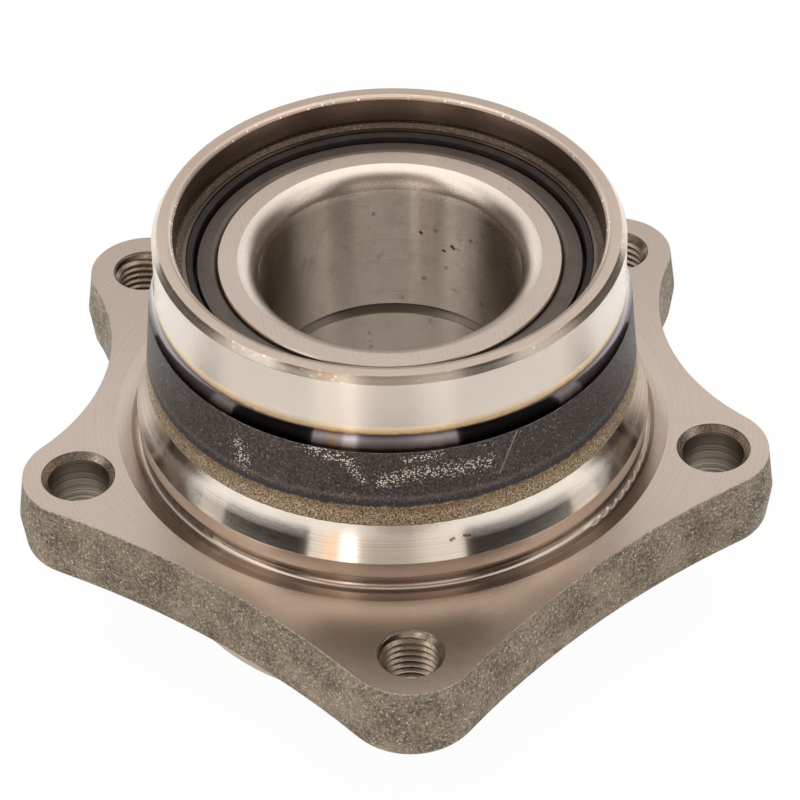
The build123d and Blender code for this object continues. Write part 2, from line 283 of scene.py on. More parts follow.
class RoundSurface:
    """Coordinates on a surface turned about Z, in millimetres, and the normal that its tool marks give."""

    # How much a millimetre of height counts beside one of radius, so that walls have rings as faces do.
    RING_SLANT: float = 1.37
    # How often the two noises that tilt the rings change within a millimetre.
    RING_RATES: Tuple[float, float] = (977.0, 1531.0)

    def __init__(self, graph: Graph) -> None:
        """Reads the place on the piece and splits it."""
        self.graph = graph
        raw = graph.node("ShaderNodeTexCoord", None, None, "Object")
        self.place = graph.times(raw, 1.0 / MM)
        parts = graph.node("ShaderNodeSeparateXYZ", None, {0: self.place})
        self.x, self.y, self.z = parts, parts.part("Y"), parts.part("Z")
        self.radius = (self.x * self.x + self.y * self.y).root()
        self.along = self.radius + self.z * self.RING_SLANT

    def facing(self) -> Field:
        """The surface's normal."""
        return self.graph.node("ShaderNodeNewGeometry", None, None, "Normal")

    def soft_edges(self, radius: float) -> Field:
        """The normal with every edge broken to a small rounding, in millimetres."""
        return self.graph.node("ShaderNodeBevel", {"samples": 4}, {"Radius": radius * MM})

    def world_way(self, way: Field) -> Field:
        """A direction on the piece, of length 1, as the shader's normals are given."""
        settings = {"vector_type": "VECTOR", "convert_from": "OBJECT", "convert_to": "WORLD"}
        turned = self.graph.node("ShaderNodeVectorTransform", settings, {0: way})
        return self.graph.vector("NORMALIZE", turned)

    def outward(self) -> Field:
        """The direction away from the axis."""
        return self.world_way(self.graph.vector("MULTIPLY", self.place, (1.0, 1.0, 0.0)))

    def turned_normal(self, spread: Number, base: Optional[Field] = None) -> Field:
        """The normal of a surface covered in fine rings, each too narrow to see.

        Args:
            spread: the slope that the rings' sides reach.
            base: the normal that it starts from.

        Returns:
            The normal, scattered across the rings only.
        """
        graph = self.graph
        base = base or self.facing()
        round_way = self.world_way(graph.vector("CROSS_PRODUCT", (0.0, 0.0, 1.0), self.place))
        across = graph.vector("CROSS_PRODUCT", round_way, base)
        first, second = (
            graph.node("ShaderNodeTexWhiteNoise", {"noise_dimensions": "1D"}, {"W": self.along * rate})
            for rate in self.RING_RATES
        )
        return self.tilted(base, across, (first + second - 1.0) * spread)

    def tilted(self, base: Field, way: Field, slope: Number) -> Field:
        """A normal leaned over towards a direction by a slope."""
        graph = self.graph
        return graph.vector("NORMALIZE", graph.vector("ADD", base, graph.times(way, slope)))

    def shifted(self, seed: float) -> Field:
        """The place moved along by a seed, so that patterns differ."""
        return self.graph.vector("ADD", self.place, (seed, seed * 1.7, seed * 0.6))

    def specks(self, size: float, share: float, seed: float) -> Field:
        """Small scattered spots.

        Args:
            size: the distance between candidates, in millimetres.
            share: how much of each cell a spot may take.
            seed: shifts the pattern.

        Returns:
            1 inside a spot.
        """
        return self.graph.cells(self.shifted(seed), size).rise(share, share * 0.5)

    def stroke(self, start: Point, end: Point, width: float) -> Field:
        """A mark along a straight line.

        Args:
            start: one end, in millimetres.
            end: the other end.
            width: how far it reaches to each side.

        Returns:
            1 on the line, falling to 0 at the width.
        """
        graph = self.graph
        run = Vector(end) - Vector(start)
        from_start = graph.vector("SUBTRACT", self.place, start)
        share = graph.vector("DOT_PRODUCT", from_start, tuple(run / run.length_squared), output="Value")
        share = share.most(0.0).least(1.0)
        foot = graph.times(tuple(run), share)
        return graph.vector("DISTANCE", from_start, foot, output="Value").rise(width, 0.0)

    def marks(self, strokes: Sequence[Tuple[Point, Point, float]]) -> Field:
        """Several strokes together, 1 on any of them."""
        return reduce(Field.most, [self.stroke(*stroke) for stroke in strokes])

    def grains(self, size: float, share: Number, seed: float) -> Field:
        """Scattered facets of which only some are picked, for painted glints and for specks.

        Args:
            size: the width of a facet, in millimetres.
            share: the part of the facets that is picked, which may vary.
            seed: shifts the pattern.

        Returns:
            1 on a picked facet.
        """
        near = self.graph.cells(self.shifted(seed), size)
        pick = self.graph.node("ShaderNodeSeparateColor", None, {0: near.part("Color")})
        return (pick - (1.0 - share)).rise(-0.01, 0.03) * near.rise(0.62, 0.40)


def finish_material(name: str) -> Tuple[bpy.types.Material, Graph]:
    """A new material with an empty graph."""
    material = bpy.data.materials.new(name)
    material.use_nodes = True
    return material, Graph(material.node_tree)


def surface(graph: Graph, fields: Mapping[str, Any], constants: Optional[Mapping[str, Any]] = None) -> None:
    """Ends a material's graph with its shader.

    Args:
        graph: the material's graph.
        fields: what varies over the surface, by the shader's socket.
        constants: what is the same all over, by the shader's socket.
    """
    shader = graph.node("ShaderNodeBsdfPrincipled", None, {**(constants or {}), **fields})
    graph.node("ShaderNodeOutputMaterial", None, {"Surface": shader})


@dataclass(frozen=True)
class ForgingNoise:
    """The noises that the zones of the forging share."""

    wander: Field
    fine: Field
    broad: Field
    flakes: Field
    lumps: Field
    lathe: Field


@dataclass(frozen=True)
class RingForging:
    """The outer ring: ground pilot, heat-blued run-out, forging scale, turned flange and raw forged edge.

    Its radii and heights say where one kind of surface gives way to the next, and its holes are the centres
    of the bolt holes.
    """

    holes: Tuple[Tuple[float, float], ...]
    turned: Colour = (0.60, 0.512, 0.448)
    rim: Colour = (0.68, 0.57, 0.49)
    cove: Colour = (0.76, 0.69, 0.62)
    ring_shade: Colour = (0.47, 0.395, 0.34)
    cloud_shade: Colour = (0.50, 0.42, 0.365)
    scale_dark: Colour = (0.022, 0.017, 0.016)
    scale_pale: Colour = (0.088, 0.069, 0.062)
    scale_glint: Colour = (0.86, 0.79, 0.71)
    scale_seam: Colour = (0.018, 0.018, 0.028)
    scale_ash: Colour = (0.24, 0.20, 0.16)
    bronze_dark: Colour = (0.15, 0.105, 0.06)
    bronze_pale: Colour = (0.66, 0.54, 0.38)
    bronze_glint: Colour = (0.95, 0.86, 0.70)
    rust: Colour = (0.20, 0.105, 0.035)
    drilled_dark: Colour = (0.13, 0.112, 0.09)
    drilled_pale: Colour = (0.36, 0.315, 0.265)
    hole_mouth: Colour = (0.22, 0.165, 0.13)
    raw_dark: Colour = (0.115, 0.092, 0.066)
    raw_mid: Colour = (0.35, 0.29, 0.215)
    raw_pale: Colour = (0.66, 0.58, 0.47)
    raw_glint: Colour = (0.95, 0.88, 0.76)
    burr: Colour = (0.74, 0.63, 0.55)
    painted_well_shade: Colour = (0.30, 0.22, 0.18)
    painted_groove_shade: Colour = (0.16, 0.105, 0.075)
    step_dark: Colour = (0.075, 0.058, 0.05)
    step_rust: Colour = (0.26, 0.20, 0.14)
    scratch: Colour = (0.90, 0.83, 0.76)
    fleck: Colour = (0.96, 0.91, 0.84)
    stain: Colour = (0.24, 0.13, 0.065)
    top: float = 46.1
    wall_from: float = 44.3
    ground_foot: float = 35.3
    burnt_foot: float = 29.7
    scale_foot: float = 17.6
    rust_band: Tuple[float, float] = (16.2, 17.2)
    cove_head: float = 13.1
    cove_foot: float = 5.35
    cove_radii: Tuple[float, float] = (47.2, 50.05)
    groove_radii: Tuple[float, float] = (50.05, 51.45)
    edge_from: float = 54.8
    underside_from: float = 57.2
    flange_foot: float = -16.8
    hole_radius: float = 7.2
    mouth_radius: float = 41.7
    well_radii: Tuple[float, float] = (40.85, 41.35)
    well_foot: float = 40.2
    step_radii: Tuple[float, float] = (39.45, 41.3)
    step_heights: Tuple[float, float] = (39.6, 40.7)
    # Strokes where the scale's painted glints cluster.
    sparkles: Tuple[Tuple[Point, Point, float], ...] = (
        ((-16.5, -43.3, 29.3), (-10.0, -45.4, 27.6), 2.6),
        ((-10.5, -45.2, 27.6), (-7.4, -46.2, 23.2), 1.5),
        ((-4.0, -46.7, 23.4), (1.8, -46.7, 25.0), 2.6),
        ((1.8, -46.7, 25.0), (16.2, -43.9, 24.6), 2.6),
        ((0.5, -46.4, 28.3), (6.4, -46.0, 28.6), 1.4),
        ((-30.0, -36.0, 24.2), (-29.2, -37.0, 21.0), 3.4),
    )
    scratches: Tuple[Tuple[Point, Point, float], ...] = (
        ((21.2, -41.2, 29.4), (18.0, -43.5, 21.4), 0.24),
        ((25.3, -37.2, 42.2), (23.3, -38.5, 38.8), 0.16),
        ((23.3, -38.5, 38.8), (25.4, -37.1, 35.4), 0.16),
        ((-10.5, -61.8, 0.0), (-6.8, -62.4, 0.0), 0.35),
        ((16.3, -58.9, 0.0), (18.2, -57.9, 0.0), 0.35),
        ((-25.6, -52.4, 0.0), (-24.7, -52.9, 0.0), 0.45),
    )
    stains: Tuple[Tuple[Point, Point, float], ...] = (
        ((8.6, -47.9, 9.1), (9.1, -47.8, 9.3), 0.55),
        ((11.0, -47.4, 9.5), (12.1, -47.1, 9.3), 0.45),
    )
    film: Tuple[Tuple[float, Colour], ...] = (
        (29.75, (0.012, 0.008, 0.006)),
        (30.25, (0.014, 0.009, 0.008)),
        (30.60, (0.07, 0.055, 0.056)),
        (31.20, (0.16, 0.14, 0.15)),
        (31.95, (0.28, 0.255, 0.265)),
        (32.50, (0.22, 0.20, 0.23)),
        (32.95, (0.085, 0.064, 0.062)),
        (33.20, (0.20, 0.125, 0.07)),
        (33.50, (0.40, 0.27, 0.15)),
        (34.00, (0.57, 0.43, 0.27)),
        (34.50, (0.66, 0.54, 0.40)),
        (35.30, (0.70, 0.625, 0.555)),
    )

    def material(self) -> bpy.types.Material:
        """Builds the material."""
        made, graph = finish_material("forged_and_ground_steel")
        on = RoundSurface(graph)
        wander = graph.grain(on.place, 1.6, 3.0, 0.6) - 0.5
        noise = ForgingNoise(
            wander=wander,
            fine=graph.grain(on.place, 0.28, 2.0, 0.6),
            broad=graph.grain(on.place, 9.0, 3.0, 0.55) - 0.5,
            flakes=graph.grain(on.place, 0.50, 4.0, 0.8),
            lumps=graph.grain(on.place, 0.62, 6.0, 0.85),
            lathe=graph.lines(on.along + wander * 0.05, 0.42),
        )
        wall = on.radius.rise(self.wall_from - 0.1, self.wall_from + 0.1) * on.z.rise(0.5, 1.0)
        cove = on.radius.within(*self.cove_radii, 0.1)
        cove = cove * on.z.within(self.cove_foot, self.cove_head + 0.1, 0.15)
        heated = wall * on.z.rise(self.burnt_foot - 0.1, self.burnt_foot + 0.1)
        scaled = wall * (on.z + wander * 0.5).within(self.cove_head + 0.15, self.burnt_foot, 0.12)
        bronzed = (on.z + wander * 1.4).rise(self.scale_foot + 0.1, self.scale_foot - 0.7)
        in_hole = self._in_holes(on)
        raw = self._raw_zone(on) * (1.0 - in_hole)
        step = on.radius.within(*self.step_radii, 0.03) * on.z.within(*self.step_heights, 0.05)
        # Painted glints: scattered facets of the scale are painted bright, most of all along the sparkles.
        patches = graph.grain(on.place, 6.0, 2.0, 0.6).rise(0.54, 0.68)
        clusters = on.marks(self.sparkles)
        glints = on.grains(0.32, 0.03 + patches * 0.08 + clusters * 0.50, 3.0)

        colour = self._turned_colour(on, noise, cove)
        colour = graph.mix(heated, colour, self._heat_colour(on, noise))
        scale = self._scale_colour(on, noise, glints * (0.35 + clusters * 0.65))
        scale = graph.mix(bronzed, scale, self._bronze_colour(on, noise))
        colour = graph.mix(scaled, colour, scale)
        colour = self._drilled_colour(on, noise, in_hole, colour)
        colour = graph.mix(raw, colour, self._raw_colour(on, noise))
        colour = self._recess_colour(on, noise, step, colour)
        colour = self._marked_colour(on, noise, colour)

        ground_zone = wall * on.z.rise(self.ground_foot - 1.0, self.ground_foot)
        blue_zone = wall * on.z.within(self.burnt_foot, self.ground_foot - 1.6, 0.3)
        roughness = graph.between(ground_zone, 0.18, 0.20)
        roughness = graph.between(blue_zone, roughness, 0.09)
        roughness = graph.between(cove, roughness, 0.12)
        roughness = graph.between(scaled, roughness, 0.44 - glints * 0.2)
        roughness = graph.between(raw, roughness, graph.between(noise.lumps.rise(0.45, 0.7), 0.60, 0.32))
        roughness = graph.between(in_hole.most(step), roughness, 0.36)
        roughness = roughness + noise.broad * 0.02

        metallic = graph.between(scaled * (1.0 - bronzed), 1.0, 0.45 + glints * 0.5)
        metallic = graph.between(raw, metallic, 0.75)

        smooth = (1.0 - scaled.most(raw)) * graph.between(blue_zone, 1.0, 0.1)
        spread = graph.between(ground_zone, graph.between(self._on_top(on), 0.20, 0.11), 0.38)
        spread = smooth * graph.between(cove, spread, 0.11)
        relief = scaled * noise.flakes * 0.8 + raw * noise.lumps * 2.0 + smooth * noise.lathe * 0.010
        normal = graph.bump(relief, 0.35, self._ringed_normal(on, spread))
        fields = {"Base Color": colour, "Roughness": roughness, "Metallic": metallic, "Normal": normal}
        surface(graph, fields)
        return made

    def _on_top(self, on: RoundSurface) -> Field:
        """1 on the flat top of the pilot."""
        return on.z.rise(self.top - 0.05, self.top + 0.05)

    def _near_top(self, on: RoundSurface) -> Field:
        """1 from just below the pilot's top upward."""
        return on.z.rise(self.top - 0.6, self.top - 0.4)

    def _in_holes(self, on: RoundSurface) -> Field:
        """The walls of the bolt holes.

        Args:
            on: coordinates on the ring.

        Returns:
            1 on the walls.
        """
        walls = []
        for east, north in self.holes:
            away = ((on.x - east) * (on.x - east) + (on.y - north) * (on.y - north)).root()
            walls.append(away.rise(self.hole_radius + 0.15, self.hole_radius))
        return reduce(Field.most, walls) * on.z.rise(0.0, -0.1)

    def _raw_zone(self, on: RoundSurface) -> Field:
        """The flange's forged edge and what is left unturned below it.

        Args:
            on: coordinates on the ring.

        Returns:
            1 on the forged skin.
        """
        facing = on.graph.node("ShaderNodeSeparateXYZ", None, {0: on.facing()})
        upright = abs(facing.part("Z")).rise(0.86, 0.62)
        below = on.z.rise(0.06, -0.04) * on.z.rise(self.flange_foot - 0.1, self.flange_foot + 0.02)
        edge = below * on.radius.rise(self.edge_from - 0.2, self.edge_from + 0.2)
        under = on.z.rise(self.flange_foot + 0.3, self.flange_foot + 0.1)
        under = under * on.radius.rise(self.underside_from - 0.2, self.underside_from + 0.2)
        return (edge * upright).most(under.most(edge * on.z.rise(-12.0, -14.3)))

    def _turned_colour(self, on: RoundSurface, noise: ForgingNoise, cove: Field) -> Field:
        """Turned and ground steel, paler in the cove and on the rim.

        Args:
            on: coordinates on the ring.
            noise: the shared noises.
            cove: 1 in the cove.

        Returns:
            The colour.
        """
        graph = on.graph
        low, edge = self.top - 1.1, self.mouth_radius - 0.2
        rim = on.z.rise(low, low + 1.0) * on.radius.rise(edge - 1.0, edge)
        colour = graph.mix(cove, graph.mix(rim, self.turned, self.rim), self.cove)
        colour = graph.mix(noise.lathe.rise(0.35, 0.75) * 0.30, colour, self.ring_shade)
        return graph.mix((noise.broad + 0.15).rise(0.0, 0.5) * 0.2, colour, self.cloud_shade)

    def _heat_colour(self, on: RoundSurface, noise: ForgingNoise) -> Field:
        """The film of oxide where the ground pilot runs out into the scale.

        Args:
            on: coordinates on the ring.
            noise: the shared noises.

        Returns:
            The colour.
        """
        foot, head = self.film[0][0], self.film[-1][0]
        stops = tuple(((height - foot) / (head - foot), colour) for height, colour in self.film)
        up = (on.z + noise.wander * 0.5 - foot) / (head - foot)
        return on.graph.node("ShaderNodeValToRGB", {"stops": stops}, {0: up})

    def _scale_colour(self, on: RoundSurface, noise: ForgingNoise, glints: Field) -> Field:
        """Dark forging scale with painted glints, a black seam and an ashy one above the bronze.

        Args:
            on: coordinates on the ring.
            noise: the shared noises.
            glints: how strongly a facet's painted glint shows.

        Returns:
            The colour.
        """
        graph = on.graph
        colour = graph.mix(noise.flakes.rise(0.44, 0.62), self.scale_dark, self.scale_pale)
        # Painted highlights on the glinting facets.
        colour = graph.mix(glints, colour, self.scale_glint)
        height = on.z + noise.wander * 1.2
        seam = height.within(self.scale_foot + 0.1, self.scale_foot + 0.7, 0.45)
        colour = graph.mix(seam * 0.85, colour, self.scale_seam)
        ash = height.within(self.scale_foot + 1.5, self.scale_foot + 2.3, 0.5)
        return graph.mix(ash * noise.fine.rise(0.35, 0.6) * 0.35, colour, self.scale_ash)

    def _bronze_colour(self, on: RoundSurface, noise: ForgingNoise) -> Field:
        """Bronze scale with painted glints, between the dark scale and the cove.

        Args:
            on: coordinates on the ring.
            noise: the shared noises.

        Returns:
            The colour.
        """
        graph = on.graph
        colour = graph.mix(noise.fine.rise(0.40, 0.60), self.bronze_dark, self.bronze_pale)
        # Painted glints on some facets of the bronze scale.
        colour = graph.mix(on.grains(0.32, 0.16, 7.0) * 0.8, colour, self.bronze_glint)
        rusty = (on.z + noise.wander * 1.2).within(*self.rust_band, 0.6)
        return graph.mix(rusty * 0.55, colour, self.rust)

    def _drilled_colour(self, on: RoundSurface, noise: ForgingNoise, in_hole: Field, colour: Field) -> Field:
        """Adds the holes' drilled walls and their dark mouths.

        Args:
            on: coordinates on the ring.
            noise: the shared noises.
            in_hole: 1 on the holes' walls.
            colour: the colour so far.

        Returns:
            The colour with the holes.
        """
        graph = on.graph
        rings = graph.lines(on.z + noise.wander * 0.4, 0.5).rise(0.35, 0.65)
        drilled = graph.mix(rings, self.drilled_dark, self.drilled_pale)
        colour = graph.mix(in_hole * on.z.rise(-1.0, -1.6), colour, drilled)
        mouth = in_hole * on.z.rise(-1.6, -1.0) * noise.fine.rise(0.35, 0.62)
        return graph.mix(mouth, colour, self.hole_mouth)

    def _raw_colour(self, on: RoundSurface, noise: ForgingNoise) -> Field:
        """The lumpy skin of the forged edge with painted glints, and a bright burr under the flange's face.

        Args:
            on: coordinates on the ring.
            noise: the shared noises.

        Returns:
            The colour.
        """
        graph = on.graph
        tone = noise.lumps + (graph.grain(on.place, 7.0, 3.0, 0.6) - 0.5) * 0.34
        colour = graph.mix(tone.rise(0.38, 0.56), self.raw_dark, self.raw_mid)
        colour = graph.mix(tone.rise(0.56, 0.74), colour, self.raw_pale)
        # Painted glints on some facets of the forged skin.
        colour = graph.mix(on.grains(0.36, 0.08, 5.0) * 0.6, colour, self.raw_glint)
        burr = (on.z + noise.wander * 1.3).rise(-0.45, -0.10) * noise.fine.rise(0.46, 0.56)
        return graph.mix(burr, colour, self.burr)

    def _recess_colour(self, on: RoundSurface, noise: ForgingNoise, step: Field, colour: Field) -> Field:
        """Adds painted shade to the seal's well and to the groove at the cove's foot, and colours the step.

        Args:
            on: coordinates on the ring.
            noise: the shared noises.
            step: 1 on the step.
            colour: the colour so far.

        Returns:
            The colour with the recesses.
        """
        graph = on.graph
        # Painted shade: the wall of the seal's well is darkened.
        well = on.radius.within(*self.well_radii, 0.05) * on.z.rise(self.well_foot, self.well_foot + 0.2)
        colour = graph.mix(well * 0.8, colour, self.painted_well_shade)
        # Painted shade: the groove at the cove's foot is darkened.
        groove = on.radius.within(*self.groove_radii, 0.05) * on.z.rise(0.9, 0.5)
        colour = graph.mix(groove * 0.55, colour, self.painted_groove_shade)
        rusty = graph.mix(noise.fine.rise(0.50, 0.72), self.step_dark, self.step_rust)
        return graph.mix(step, colour, rusty)

    def _marked_colour(self, on: RoundSurface, noise: ForgingNoise, colour: Field) -> Field:
        """Adds scratches, flecks on the rim's two edges and stains.

        Args:
            on: coordinates on the ring.
            noise: the shared noises.
            colour: the colour so far.

        Returns:
            The colour with the marks.
        """
        graph = on.graph
        worn = noise.fine.rise(0.32, 0.52)
        colour = graph.mix(on.marks(self.scratches) * worn * 0.26, colour, self.scratch)
        outer = on.radius.rise(self.wall_from - 0.45, self.wall_from - 0.35)
        inner = on.radius.rise(self.mouth_radius + 0.1, self.mouth_radius)
        edges = on.z.rise(self.top - 1.4, self.top - 1.2) * outer + self._near_top(on) * inner
        colour = graph.mix(on.grains(0.55, 0.07, 9.0) * edges * 0.6, colour, self.fleck)
        return graph.mix(on.marks(self.stains) * worn * 1.4, colour, self.stain)

    def _ringed_normal(self, on: RoundSurface, spread: Field) -> Field:
        """The normal with its tool marks, softened edges and the rolled edges of groove and mouth.

        Args:
            on: coordinates on the ring.
            spread: the slope that the tool marks reach.

        Returns:
            The normal.
        """
        foot = self.groove_radii[1]
        beside_groove = on.radius.rise(foot - 0.5, foot - 0.2) * on.z.rise(0.7, 0.5)
        ridge = beside_groove * on.z.rise(0.15, 0.25)
        normal = on.graph.mix(beside_groove, on.soft_edges(0.18), on.facing())
        normal = on.tilted(normal, on.outward(), ridge * 0.40)
        lip = on.radius.within(self.well_radii[0] + 0.2, self.mouth_radius, 0.1) * self._near_top(on)
        normal = on.tilted(normal, on.world_way((0.0, 0.0, 1.0)), lip * 0.6)
        rolled = on.radius.rise(self.mouth_radius + 0.5, self.mouth_radius) * self._on_top(on)
        normal = on.tilted(normal, on.outward(), rolled * -0.20)
        return on.turned_normal(spread * (1.0 - ridge * 0.7), normal)


@dataclass(frozen=True)
class BearingSteel:
    """An inner ring: flat ground face, rounded mouth and honed bore."""

    face: Colour = (0.66, 0.565, 0.50)
    mouth: Colour = (0.80, 0.72, 0.65)
    bore: Colour = (0.60, 0.535, 0.47)
    shade: Colour = (0.50, 0.42, 0.36)
    soot: Colour = (0.11, 0.07, 0.045)
    pits: Tuple[Tuple[Point, Point, float], ...] = (
        ((13.1, 21.3, 23.6), (13.4, 21.1, 23.2), 0.6),
        ((11.4, 22.3, 22.0), (11.7, 22.1, 21.8), 0.4),
        ((7.0, 24.0, 25.4), (7.2, 23.9, 25.2), 0.5),
    )
    worn: Colour = (0.40, 0.345, 0.285)
    painted_mouth_shade: Colour = (0.24, 0.175, 0.135)
    joint: Colour = (0.20, 0.17, 0.145)
    bore_radius: float = 25.0
    mouth_reach: float = 29.0
    mouth_shade_reach: float = 27.0
    split_height: float = 5.5

    def material(self) -> bpy.types.Material:
        """Builds the material."""
        made, graph = finish_material("ground_bearing_steel")
        on = RoundSurface(graph)
        cloud = graph.grain(on.place, 4.0, 3.0, 0.6)
        fine = graph.grain(on.place, 0.30, 3.0, 0.65)
        in_bore = on.radius.rise(self.bore_radius + 0.35, self.bore_radius + 0.10)
        in_mouth = on.radius.rise(self.mouth_reach + 0.05, self.mouth_reach - 0.1) * (1.0 - in_bore)
        joint = abs(on.z - self.split_height).rise(1.3, 1.2)
        joint = joint * on.radius.rise(self.bore_radius + 0.02, self.bore_radius + 0.05)
        strokes = graph.lines(on.x + on.y * 0.12 + cloud * 0.2, 0.30)
        hone = graph.lines(on.z + cloud * 0.6, 0.34)
        colour = graph.mix(strokes.rise(0.35, 0.72) * 0.35, self.face, self.shade)
        colour = graph.mix(in_mouth, colour, graph.mix(fine.rise(0.42, 0.66) * 0.3, self.mouth, self.shade))
        wear = hone.rise(0.35, 0.7) * 0.35 + cloud.rise(0.48, 0.7) * 0.25
        colour = graph.mix(in_bore, colour, graph.mix(wear, self.bore, self.worn))
        # Painted shade: the mouth's rounding darkens towards the bore.
        mouth_shade_mask = in_mouth * on.radius.rise(self.mouth_shade_reach, self.mouth_shade_reach - 1.0)
        colour = graph.mix(mouth_shade_mask * (0.32 + fine.rise(0.4, 0.6) * 0.2), colour, self.painted_mouth_shade)
        colour = graph.mix(joint, colour, self.joint)
        spots = on.grains(1.1, in_bore * 0.012 + 0.004, 11.0)
        colour = graph.mix(spots * fine.rise(0.4, 0.5), colour, self.soot)
        colour = graph.mix(on.marks(self.pits) * 1.6, colour, self.soot)
        roughness = graph.between(in_bore, graph.between(in_mouth, 0.21, 0.30), 0.11) + (cloud - 0.5) * 0.05
        spread = graph.between(in_bore, graph.between(in_mouth, 0.16, 0.15), 1.6)
        lined = graph.between(in_bore, strokes, hone)
        normal = graph.bump(lined, 0.004, on.turned_normal(spread, on.soft_edges(0.12)))
        surface(graph, {"Base Color": colour, "Roughness": roughness, "Normal": normal}, {"Metallic": 1.0})
        return made


@dataclass(frozen=True)
class TurnedSteel:
    """Bare steel with fine rings about the axis."""

    name: str
    colour: Colour
    shade: Colour
    roughness: float
    spread: float
    pitch: float = 0.4
    stain: float = 0.0
    metallic: float = 1.0
    painted_ring_highlight: Colour = (0.55, 0.47, 0.41)
    rust: Colour = (0.12, 0.07, 0.035)

    def material(self) -> bpy.types.Material:
        """Builds the material."""
        made, graph = finish_material(self.name)
        on = RoundSurface(graph)
        cloud = graph.grain(on.place, 4.0, 3.0, 0.6)
        rings = graph.lines(on.along, self.pitch)
        shaded = rings.rise(0.35, 0.75) * 0.5 + cloud.rise(0.45, 0.75) * 0.3
        colour = graph.mix(shaded, self.colour, self.shade)
        # Painted highlights: some of the rings are made paler.
        colour = graph.mix(rings.rise(0.40, 0.30) * 0.22, colour, self.painted_ring_highlight)
        spots = on.specks(2.6, 0.085, 11.0) * self.stain
        colour = graph.mix(spots, colour, self.rust)
        roughness = self.roughness + (cloud - 0.5) * 0.12 + spots * 0.3
        normal = graph.bump(rings, 0.0035, on.turned_normal(self.spread))
        fields = {"Base Color": colour, "Roughness": roughness, "Normal": normal}
        surface(graph, fields, {"Metallic": self.metallic})
        return made


@dataclass(frozen=True)
class MouldedPolymer:
    """Matt moulded rubber or plastic with a fine eroded grain."""

    name: str
    colour: Colour
    pale: Colour
    roughness: float
    grain_size: float
    depth: float

    def material(self) -> bpy.types.Material:
        """Builds the material."""
        made, graph = finish_material(self.name)
        on = RoundSurface(graph)
        pores = graph.grain(on.place, self.grain_size, 3.0, 0.6)
        dust = graph.grain(on.place, 3.0, 3.0, 0.65).rise(0.48, 0.75)
        colour = graph.mix(dust * 0.6, self.colour, self.pale)
        roughness = self.roughness + (pores - 0.5) * 0.2
        fields = {"Base Color": colour, "Roughness": roughness, "Normal": graph.bump(pores, self.depth)}
        surface(graph, fields, {"Specular IOR Level": 0.4})
        return made


@dataclass(frozen=True)
class PolishedBall:
    """A lapped ball with a film of grease."""

    colour: Colour = (0.66, 0.64, 0.62)
    film: Colour = (0.52, 0.46, 0.36)

    def material(self) -> bpy.types.Material:
        """Builds the material."""
        made, graph = finish_material("lapped_ball_steel")
        on = RoundSurface(graph)
        smear = graph.grain(on.place, 3.5, 3.0, 0.6).rise(0.45, 0.7)
        colour = graph.mix(smear * 0.5, self.colour, self.film)
        roughness = 0.07 + smear * 0.12
        surface(graph, {"Base Color": colour, "Roughness": roughness}, {"Metallic": 1.0})
        return made


def dress(node: bpy.types.Object, material: bpy.types.Material) -> None:
    """Gives a carried-over solid its finish, in every slot that it has.

    Args:
        node: the solid's object.
        material: the finish.
    """
    if not node.material_slots:
        node.data.materials.append(material)
    for slot in node.material_slots:
        slot.material = material
    log.info("dressed %s in %s", node.name, material.name)


